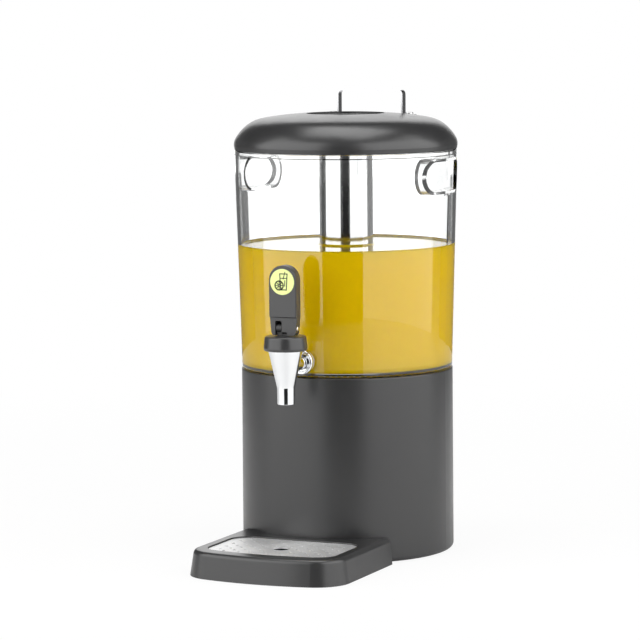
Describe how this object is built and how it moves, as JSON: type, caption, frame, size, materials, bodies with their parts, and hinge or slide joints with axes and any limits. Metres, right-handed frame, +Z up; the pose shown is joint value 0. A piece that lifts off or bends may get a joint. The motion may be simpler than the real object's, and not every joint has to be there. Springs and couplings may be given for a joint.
{
  "type": "juice dispenser",
  "caption": "Countertop cold drink dispenser: clear tapered vessel on a round base, domed lid with handle, central ice tube, lever tap and slide-out drip tray with grid.",
  "frame": {"origin": "on the vertical axis of the round body, on the table plane that the foot ring rests on", "axes": "+Z up along the body's axis, -Y towards the user (tap and drip tray), +X to the user's right facing the dispenser from the front"},
  "size_m": [0.2122, 0.3201, 0.436],
  "materials": {
    "dark_plastic": "fine moulded texture, anthracite grey",
    "tap_plastic": "satin moulded plastic, anthracite grey",
    "black_plastic": "matte moulded plastic, near black",
    "soft_rubber": "matt soft rubber",
    "silicone": "translucent white silicone",
    "clear_plastic": "polished clear polycarbonate",
    "juice": "opaque yellow orange juice",
    "tap_chrome": "mirror chrome plate",
    "polished_steel": "polished stainless steel",
    "grid_steel": "satin stainless sheet",
    "steel_fastener": "plain stainless fastener",
    "spring_steel": "drawn spring wire",
    "badge": "yellow-green satin label with a black drink pictogram"
  },
  "bodies": {
    "base": {"base_shell": "dark_plastic", "base_bottom_plate": "black_plastic", "foot_ring": "soft_rubber", "base_screws": "steel_fastener", "container_gasket": "silicone"},
    "container": {"container": "clear_plastic", "juice": "juice", "tap_body": "tap_chrome", "tap_bonnet": "tap_plastic", "tap_collar": "tap_chrome", "tap_outer_washer": "silicone", "tap_inner_washer": "silicone", "tap_shank_nut": "steel_fastener", "valve_spring": "spring_steel"},
    "valve": {"valve_stem": "black_plastic", "valve_seat_cup": "silicone", "lever_pin": "polished_steel"},
    "lever": {"tap_lever": "tap_plastic", "lever_badge": "badge"},
    "lid": {"lid": "dark_plastic", "lid_seal_ring": "silicone", "lid_handle": "polished_steel", "lid_handle_screws": "steel_fastener", "lid_handle_nuts": "steel_fastener"},
    "ice_tube": {"ice_tube": "polished_steel", "ice_tube_gasket": "silicone"},
    "tube_cap": {"ice_tube_cap": "black_plastic", "cap_seal": "silicone"},
    "tray": {"drip_tray": "dark_plastic", "tray_feet": "soft_rubber"},
    "grid": {"drip_grid": "grid_steel"}
  },
  "joints": [
    {"name": "vessel_lift", "type": "slide", "parent": "base", "child": "container", "axis": [0, 0, 1], "range_m": [0, 0.06]},
    {"name": "lid_lift", "type": "slide", "parent": "container", "child": "lid", "axis": [0, 0, 1], "range_m": [0, 0.08]},
    {"name": "ice_tube_lift", "type": "slide", "parent": "lid", "child": "ice_tube", "axis": [0, 0, 1], "range_m": [0, 0.225]},
    {"name": "cap_lift", "type": "slide", "parent": "ice_tube", "child": "tube_cap", "axis": [0, 0, 1], "range_m": [0, 0.04]},
    {"name": "valve_lift", "type": "slide", "parent": "container", "child": "valve", "axis": [0, 0, 1], "range_m": [0, 0.0015], "stiffness_N_per_m": 400, "springref_m": -0.002, "deforming": ["valve_spring"]},
    {"name": "lever_tilt", "type": "hinge", "parent": "valve", "child": "lever", "pos_m": [0, -0.1405, 0.2251], "axis": [1, 0, 0], "range_deg": [0, 30.5]},
    {"name": "tray_slide", "type": "slide", "parent": "base", "child": "tray", "axis": [0, -1, 0], "range_m": [0, 0.06]},
    {"name": "grid_lift", "type": "slide", "parent": "tray", "child": "grid", "axis": [0, 0, 1], "range_m": [0, 0.03]}
  ],
  "couplings": [
    {"joint": "lever_tilt", "follows": "valve_lift", "rad_per_m": 349.07}
  ]
}
